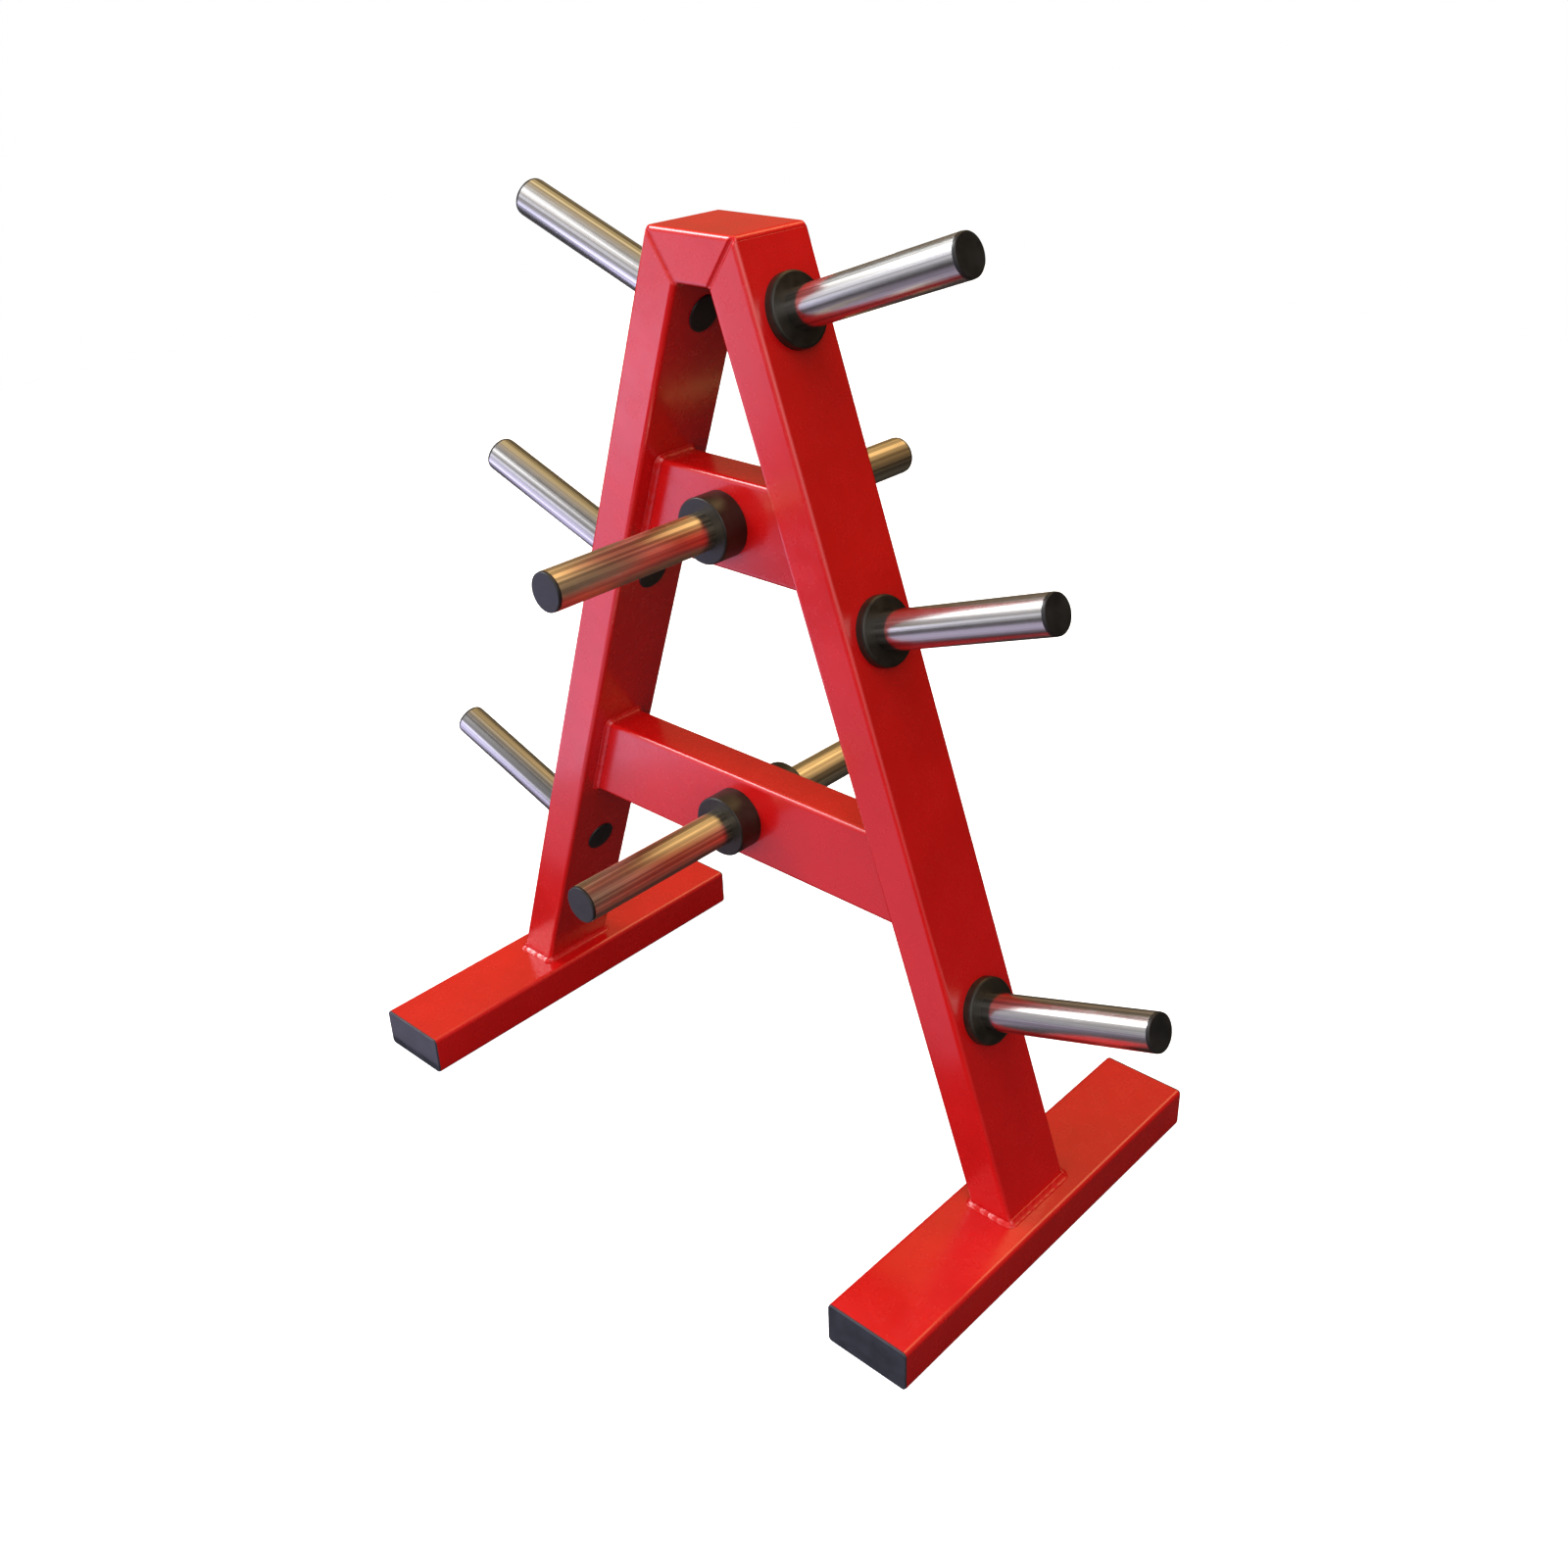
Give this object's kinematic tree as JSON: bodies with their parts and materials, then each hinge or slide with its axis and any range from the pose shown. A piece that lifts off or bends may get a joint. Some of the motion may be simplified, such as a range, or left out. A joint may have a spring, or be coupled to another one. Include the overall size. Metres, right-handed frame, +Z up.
{
  "type": "weight plate storage rack",
  "caption": "Free-standing A-frame rack of welded rectangular tube with bright horns on its legs and cross beams, which hold weight plates by their bores.",
  "frame": {"origin": "on the floor, under the middle of the rack", "axes": "+Z up, the front faces -Y, X runs from the left foot to the right foot"},
  "size_m": [1.2704, 0.616, 1.2418],
  "materials": {
    "red_paint": "glossy powder coat over welded steel tube",
    "bright_steel": "bright, fine lines along the tube",
    "plain_steel": "plain welded tube, hidden inside the frame and the sleeves",
    "rubber": "black moulded rubber, satin",
    "black_plastic": "black moulded plug, fine texture",
    "grey_plastic": "dark grey moulded cap, fine texture"
  },
  "bodies": {
    "root": {"foot_welds": "red_paint", "front_lower_collar": "rubber", "front_lower_end_plug": "black_plastic", "front_lower_sleeve": "bright_steel", "front_upper_collar": "rubber", "front_upper_end_plug": "black_plastic", "front_upper_sleeve": "bright_steel", "left_foot": "red_paint", "left_front_foot_cap": "grey_plastic", "left_leg": "red_paint", "left_low_collar": "rubber", "left_low_end_plug": "black_plastic", "left_low_inner_plug": "black_plastic", "left_low_sleeve": "bright_steel", "left_low_stub": "plain_steel", "left_middle_collar": "rubber", "left_middle_end_plug": "black_plastic", "left_middle_inner_plug": "black_plastic", "left_middle_sleeve": "bright_steel", "left_middle_stub": "plain_steel", "left_rear_foot_cap": "grey_plastic", "left_top_collar": "rubber", "left_top_end_plug": "black_plastic", "left_top_inner_plug": "black_plastic", "left_top_sleeve": "bright_steel", "left_top_stub": "plain_steel", "lower_beam": "red_paint", "lower_beam_welds": "red_paint", "lower_through_stub": "plain_steel", "mitre_welds": "red_paint", "rear_lower_collar": "rubber", "rear_lower_end_plug": "black_plastic", "rear_lower_sleeve": "bright_steel", "rear_upper_collar": "rubber", "rear_upper_end_plug": "black_plastic", "rear_upper_sleeve": "bright_steel", "right_foot": "red_paint", "right_front_foot_cap": "grey_plastic", "right_leg": "red_paint", "right_low_collar": "rubber", "right_low_end_plug": "black_plastic", "right_low_inner_plug": "black_plastic", "right_low_sleeve": "bright_steel", "right_low_stub": "plain_steel", "right_middle_collar": "rubber", "right_middle_end_plug": "black_plastic", "right_middle_inner_plug": "black_plastic", "right_middle_sleeve": "bright_steel", "right_middle_stub": "plain_steel", "right_rear_foot_cap": "grey_plastic", "right_top_collar": "rubber", "right_top_end_plug": "black_plastic", "right_top_inner_plug": "black_plastic", "right_top_sleeve": "bright_steel", "right_top_stub": "plain_steel", "top_bar": "red_paint", "upper_beam": "red_paint", "upper_beam_welds": "red_paint", "upper_through_stub": "plain_steel"}
  },
  "joints": []
}
